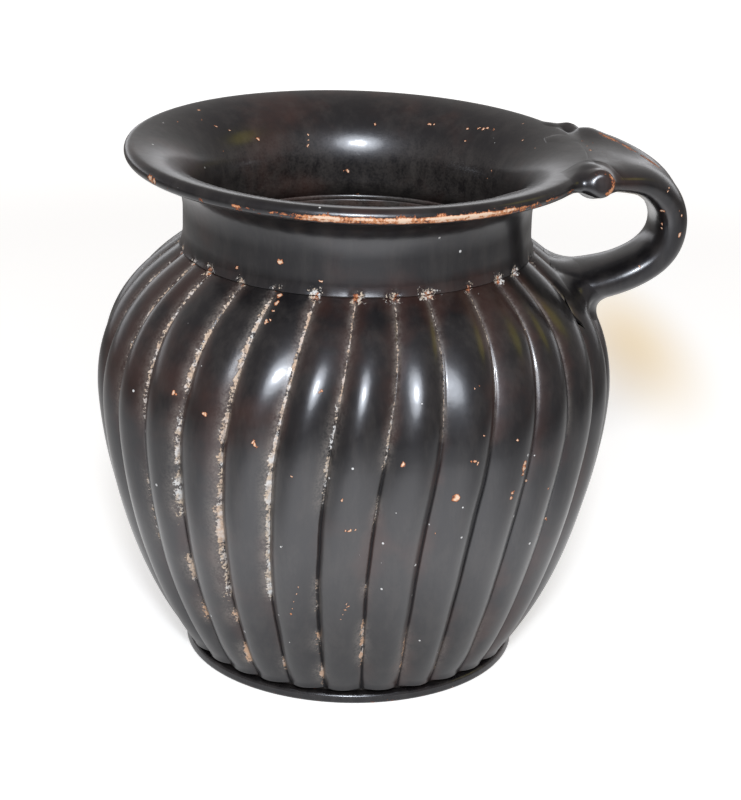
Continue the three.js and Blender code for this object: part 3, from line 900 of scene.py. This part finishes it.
# Strap handle
# A strap of pulled clay, smoothed over the rim between two knobs. It turns down and lands on the shoulder.
# Its top is dished, with a raised rear edge, and its crest is rubbed red-brown where it is held.
handle_thickness = 0.0066
handle_rim_thickness = 0.0056
handle_rim_width = 0.0300
handle_width = 0.0133
handle_narrowing = 0.5
handle_narrowing_ease = 0.6
handle_root_width = 0.0160
handle_widening_start = 0.6
handle_stand_off = 0.0149
handle_turn_drop = 0.0103
handle_top_reach = 0.0126
handle_turn_pull = 0.0030
handle_root_drop = 0.0073
handle_root_reach = 0.0156
handle_root_slope = 8
handle_squareness = 2.4
handle_sink = 0.0045
tongue_reach = 0.0065     # how far its top runs inwards over the rim before it is flush
tongue_edge = 0.0010      # how thin it is there
tongue_steps = 20
tongue_proud = 0.00004    # how far its skin stands over the rim's
handle_dish = 0.0006
handle_rear_lip = 0.00145
handle_rear_lip_end = 0.26    # share of its length at which the rear lip has sunk to the crest's
handle_crest = 0.0005     # of the rear edge where the strap turns down
handle_front_lip = 0.0002
handle_thickening = 0.35
handle_lips_end = 0.52    # share of its length at which the dish has died out
handle_rings = 150
handle_columns = 72


def height_on(outline, radius):
    """The height of an outline of falling radius, at a radius."""
    for before, after in zip(outline, outline[1:]):
        if after[0] <= radius <= before[0]:
            return before[1] + (after[1] - before[1]) * (before[0] - radius) / (before[0] - after[0])
    return outline[0][1]


def eased(share):
    share = min(max(share, 0), 1)
    return share ** 3 * (share * (share * 6 - 15) + 10)


handle_start = (rim_radius, rim_top - rim_fall * rim_radius - handle_rim_thickness / 2)
handle_out = (rim_radius + handle_stand_off, handle_start[1] - handle_turn_drop)
handle_root_height = pot_top - handle_root_drop
wall_above = [spot for spot in reversed(wall_outline) if spot[1] >= belly_height]
handle_end_radius = next(radius for radius, height in wall_above if height <= handle_root_height)
handle_end = (handle_end_radius, handle_root_height)
root_way = Vector(aside((0, 0), 90 - handle_root_slope, 1))

handle_line = []
tongue_thicknesses = []
for step in range(tongue_steps + 1):
    part = step / tongue_steps
    radius = rim_radius - tongue_reach * (1 - part)
    flush = height_on(rim_inside, radius) - rim_fall * radius - 0.0004
    proud = handle_start[1] + handle_rim_thickness / 2
    thickness = tongue_edge + (handle_rim_thickness - tongue_edge) * eased(part)
    handle_line.append((radius, flush + (proud - flush) * smoothstep(0, 1, part) - thickness / 2))
    tongue_thicknesses.append(thickness)
handle_line += bend(handle_start, (handle_start[0] + handle_top_reach, handle_start[1]),
                    (handle_out[0], handle_out[1] + handle_turn_pull), handle_out, 60)[1:]
handle_line += bend(handle_out, (handle_out[0], handle_out[1] - handle_turn_pull),
                    aside(handle_end, 90 - handle_root_slope, handle_root_reach), handle_end, 60)[1:]
handle_line += [tuple(Vector(handle_end) - root_way * handle_sink)]
handle_runs = [0.0]
for before, after in zip(handle_line, handle_line[1:]):
    handle_runs.append(handle_runs[-1] + (Vector(after) - Vector(before)).length)
tongue_run = handle_runs[tongue_steps]


def on_handle_line(run):
    """The centre of the strap and its direction, at a run along it from the tongue's end."""
    step = max(index for index, start in enumerate(handle_runs[:-1]) if start <= run)
    before = Vector(handle_line[step])
    after = Vector(handle_line[step + 1])
    part = (run - handle_runs[step]) / (handle_runs[step + 1] - handle_runs[step])
    return before.lerp(after, part), (after - before).normalized()


def strap_share(run):
    """The share of the strap's free length, from the rim's edge to the shoulder."""
    return (run - tongue_run) / (handle_runs[-1] - tongue_run)


def strap_width(share):
    narrowing = eased(share / handle_narrowing) ** handle_narrowing_ease
    widening = eased((share - handle_widening_start) / (1 - handle_widening_start))
    narrowed = handle_rim_width + (handle_width - handle_rim_width) * narrowing
    return narrowed + (handle_root_width - handle_width) * widening - 0.005 * smoothstep(0, -0.14, share)


def strap_thickness(run):
    if run < tongue_run:
        step = min(int(run / tongue_run * tongue_steps), tongue_steps - 1)
        part = run / tongue_run * tongue_steps - step
        return tongue_thicknesses[step] + (tongue_thicknesses[step + 1] - tongue_thicknesses[step]) * part
    thickening = eased(strap_share(run) / handle_thickening)
    return handle_rim_thickness + (handle_thickness - handle_rim_thickness) * thickening


def boxy(value):
    return math.copysign(abs(value) ** (2 / handle_squareness), value)


def strap_ring(run, lifted=1):
    """One ring of the strap, with its dish and lips or plain."""
    centre, along = on_handle_line(run)
    thickness = strap_thickness(run)
    share = strap_share(run)
    fading = smoothstep(0.0, 0.16, share) * lifted
    rising = smoothstep(-0.07, 0.05, share) * lifted
    over_rim = smoothstep(0.10, -0.01, share) * lifted
    rear = handle_rear_lip * (1 - eased(share / handle_rear_lip_end))
    rear += handle_crest * hump(share, 0.3, 0.15)
    dished = smoothstep(handle_lips_end, 0.12, share)

    def place(across, outward):
        return (centre.x - along.y * outward, across, centre.y + along.x * outward)

    def up_to_rim(across, outward):
        """How far a place of the top lies under the rim's own skin, which runs on level past its edge."""
        spot = place(across, outward)
        highest = rim_radius - rim_half
        rim_skin = height_on(rim_inside, min(math.hypot(spot[0], spot[1]), highest)) - rim_fall * spot[0]
        return rim_skin + tongue_proud * (2 * smoothstep(-0.145, -0.07, share) - 1) - spot[2]

    ring = []
    for column in range(handle_columns):
        turn = math.tau * column / handle_columns
        side = boxy(math.cos(turn))
        top = boxy(math.sin(turn))
        across = side * strap_width(share) / 2
        outward = top * thickness / 2
        if top > 0:
            outward += over_rim * smoothstep(0.30, 0.75, top) * up_to_rim(across, outward)
            dip = handle_front_lip * hump(side, -0.85, 0.25) - handle_dish * hump(side, -0.05, 0.50)
            shape = rising * rear * hump(side, 0.85, 0.34) + fading * dished * dip
            outward += shape * math.sqrt(top)
        hand = 0.00012 * noise.noise(Vector((run * 160, across * 160, outward * 160)))
        ring.append(place(across + hand, outward + hand))
    return ring


handle = ring_skin("strap_of_clay", [strap_ring(handle_runs[-1] * step / handle_rings)
                                     for step in range(handle_rings + 1)])
handle_chips_seen = (
    (583, 141, 0.4), (587, 146, 0.4), (590, 150, 0.5), (585, 152, 0.3), (593, 143, 0.4), (596, 150, 0.3),
    (663, 211, 0.7), (662, 224, 0.5), (662, 228, 0.4), (680, 211, 0.4), (681, 216, 0.4), (680, 235, 0.6),
    (640, 266, 0.3), (668, 191, 0.5), (669, 188, 0.4),
)


def strap_wear(spot):
    """The strap's rubbed line: behind the middle at the rim, over the crest where the strap turns down."""
    beyond = (spot.x - rim_radius) / handle_stand_off
    ridge = 0.0095 * smoothstep(1.0, 0.1, beyond) - 0.0005
    top = smoothstep(handle_start[1] - 0.0045, handle_start[1], spot.z)
    strength = 0.50 * smoothstep(-0.1, 0.35, beyond) + 0.16 * noise.noise(spot * 300)
    tongue = 0.20 * hump(spot.y, -0.002, 0.006) * hump(spot.x, rim_radius + 0.001, 0.0022)
    return top * max(hump(spot.y, ridge, 0.0014) * strength, tongue)


paint(handle, "worn", strap_wear)
black_slip("handle_black", handle, brownness=0.7, pits=0.000007, marks=marks_on(handle, handle_chips_seen))
finish_piece(handle, "handle_black_gloss", "strap_handle")


# Clay round the handle's lower end
# Soft clay worked round the strap with a finger to hold it on the shoulder, and smoothed out over the ribs.
# It is thickest below the strap and at its sides.
root_softness_below = 0.0045
root_softness_above = 0.0030
root_top_reach = 0.0095   # how far up the strap it starts
root_side_reach = 0.0080  # and how far it runs out over the pot, beside, below and above the strap
root_low_reach = 0.0065
root_high_reach = 0.0052
root_depth = 0.0030       # of a place under the pot's skin, in the strap's middle
root_lift = 0.0016        # how far off the strap and the pot the search for its skin starts
root_columns = 128
root_rings = 56
clay_dip = 0.00004        # how far its borders run under the skins that it joins
slanting = Vector((0.31, 0.17, 0.94)).normalized()     # no plane of the pieces lies along it


def skins_of(*pieces):
    trees = []
    for piece in pieces:
        spots = [spot.co for spot in piece.data.vertices]
        trees.append(BVHTree.FromPolygons(spots, [face.vertices for face in piece.data.polygons]))
    return trees


def outside(skins, place):
    """How far a place is outside the nearest of some closed skins, or below zero where it is inside.

    A line from an inside place crosses the skin an odd number of times.
    """
    gaps = []
    for skin in skins:
        gap = skin.find_nearest(place)[3]
        landing = skin.ray_cast(place, slanting)[0]
        while landing:
            gap = -gap
            landing = skin.ray_cast(landing + slanting * 0.000002, slanting)[0]
        gaps.append(gap)
    return min(gaps)


def smoothed(first, second, softness):
    """The smaller of two gaps, and less where they are alike, as where a finger fills a corner."""
    alike = max(softness - abs(first - second), 0) / softness
    return min(first, second) - alike * alike * softness / 4


def spread_clay(name, starts, sunk, gap_at):
    """A skin where a gap is nothing, found on the way from starting places to places sunk in the clay."""
    rings = []
    for start_ring, sunk_ring in zip(starts, sunk):
        ring = []
        for start, deep in zip(start_ring, sunk_ring):
            way = start - deep
            reach = way.length
            way.normalize()
            for _ in range(60):
                gap = gap_at(deep + way * reach)
                reach -= gap * 0.85
                if abs(gap) < 0.000004:
                    break
            ring.append(deep + way * reach if abs(gap) < 0.00005 and reach > 0 else deep)
        rings.append(ring)
    return ring_skin(name, rings)


root_end_run = handle_runs[-1] - handle_sink
root_top = strap_ring(root_end_run - root_top_reach, 0)
root_top_centre = on_handle_line(root_end_run - root_top_reach)[0]
root_top_middle = Vector((root_top_centre.x, 0, root_top_centre.y))
root_foot, root_along = on_handle_line(root_end_run)
inwards = Vector((root_along.x, 0, root_along.y))
root_middle = Vector((root_foot.x, 0, root_foot.y)) + inwards * root_depth
strap_skins = skins_of(handle)
wall_skins = skins_of(pot, neck)


def root_gap(place):
    away = place - root_middle
    upward = away.x * root_along.y - away.z * root_along.x
    raised = smoothstep(-0.5, 0.9, upward / 0.006)
    softness = root_softness_below + (root_softness_above - root_softness_below) * raised
    return smoothed(outside(strap_skins, place) + clay_dip, outside(wall_skins, place) + clay_dip, softness)


root_spots = []
for column in range(root_columns):
    beside = math.cos(math.tau * column / root_columns)
    below = math.sin(math.tau * column / root_columns)
    top = Vector(root_top[column * len(root_top) // root_columns])
    side = math.copysign(abs(beside) ** 0.6, beside) * (strap_width(1) / 2 + root_side_reach)
    outward = below * (handle_thickness / 2 + (root_low_reach if below > 0 else 0))
    above = max(-below, 0)
    foot = Vector((root_foot.x - root_along.y * outward, side, root_foot.y + root_along.x * outward))
    foot.x -= root_high_reach * above
    to_wall = inwards.lerp(Vector((0, 0, -1)), above).normalized()
    foot = wall_skins[0].ray_cast(foot - to_wall * 0.02, to_wall)[0]
    root_spots.append((top, (top - root_top_middle).normalized(), foot, to_wall))
root_starts = []
root_sunk = []
for step in range(root_rings + 1):
    share = step / root_rings
    start_ring = []
    sunk_ring = []
    for top, lift, foot, to_wall in root_spots:
        start_ring.append((top + lift * root_lift).lerp(foot - to_wall * root_lift, share))
        from_strap = (top - lift * root_lift).lerp(root_middle, share)
        from_wall = root_middle.lerp(foot + to_wall * root_lift, share)
        sunk_ring.append(from_strap.lerp(from_wall, share))
    root_starts.append(start_ring)
    root_sunk.append(sunk_ring)
root_clay = spread_clay("root_clay", root_starts, root_sunk, root_gap)
black_slip("root_black", root_clay, brownness=0.9)
finish_piece(root_clay, "handle_black_gloss", "handle_root_clay")


# Knobs
# Two short lugs of clay rolled out of the strap's corners on the rim and worked into them.
# The front one hangs a little and its end is rubbed to a bright edge; the rear one is worn low.
knob_rounding = 0.0013
knob_softness = {"front": 0.0040, "rear": 0.0045}
knob_unevenness = 0.00022
knob_search = 0.0025      # how far off its guide the search for its skin starts
knob_columns = 80
knob_end_rings = 12
knob_side_rings = 40
knob_border_rings = 26
knob_narrowing = {"front": -0.05, "rear": 0.22}     # how much thinner it gets on its way in
knob_fading = {"front": 0, "rear": 0.98}            # how far the clay round it thins out there
knob_border = {"front": 0.0042, "rear": 0.0052}
corner_skins = skins_of(handle, neck)


def knob(side, outer, middle, radius):
    """A lug from its outer end to a middle place sunk in the corner, with clay smoothed round its root."""
    inwards = (middle - outer).normalized()     # along the lug, no longer along the strap
    length = (middle - outer).length

    def gap_at(place):
        along = (place - outer).dot(inwards)
        beside = (place - outer - inwards * along).length
        past_side = beside - (radius - knob_rounding) + knob_narrowing[side] * max(along, 0)
        past_end = knob_rounding - along
        bar = math.hypot(max(past_side, 0), max(past_end, 0)) - knob_rounding
        bar += min(max(past_side, past_end), 0)
        hand = knob_unevenness * noise.noise(place * 330)
        softness = knob_softness[side] * (1 - knob_fading[side] * smoothstep(0.2, 0.9, along / length))
        return smoothed(bar + hand, outside(corner_skins, place) + clay_dip, softness)

    across = inwards.cross(Vector((0, 0, 1))).normalized()
    up = across.cross(inwards)
    border_along = length * 0.8
    profile = [(radius * step / knob_end_rings, 0) for step in range(1, knob_end_rings)]
    profile += [(radius, border_along * step / knob_side_rings) for step in range(knob_side_rings)]
    profile += [(radius + knob_border[side] * step / knob_border_rings, border_along)
                for step in range(knob_border_rings + 1)]
    starts = []
    for beside, along in profile:
        ring = []
        for column in range(knob_columns):
            turn = math.tau * column / knob_columns
            guide = outer + inwards * along + (across * math.cos(turn) + up * math.sin(turn)) * beside
            ring.append(guide + (guide - middle).normalized() * knob_search)
        starts.append(ring)
    return spread_clay(side + "_knob", starts, [[middle] * knob_columns] * len(starts), gap_at)


def knob_wear(spot, outer, radius):
    """The rubbed edge of a knob's end, most at its right."""
    from_middle = math.hypot(spot.x - outer.x, spot.z - outer.z)
    edge = hump(from_middle, radius - 0.0003, 0.0006) * hump(spot.y, outer.y, 0.0018)
    return (0.22 + 0.50 * smoothstep(-0.0008, 0.0016, spot.x - outer.x)) * edge


knob_sizes = {
    "front": (Vector((0.0405, -0.0213, 0.0943)), Vector((0.0397, -0.0125, 0.0929)), 0.0024),
    "rear": (Vector((0.0408, 0.0186, 0.0935)), Vector((0.0410, 0.0105, 0.0922)), 0.0020),
}
for side, (outer, middle, radius) in knob_sizes.items():
    lug = knob(side, outer, middle, radius)
    paint(lug, "worn", lambda spot: knob_wear(spot, outer, radius))
    black_slip(side + "_knob_black", lug, brownness=0.8)
    finish_piece(lug, "worn_knob_gloss", side + "_rim_knob")
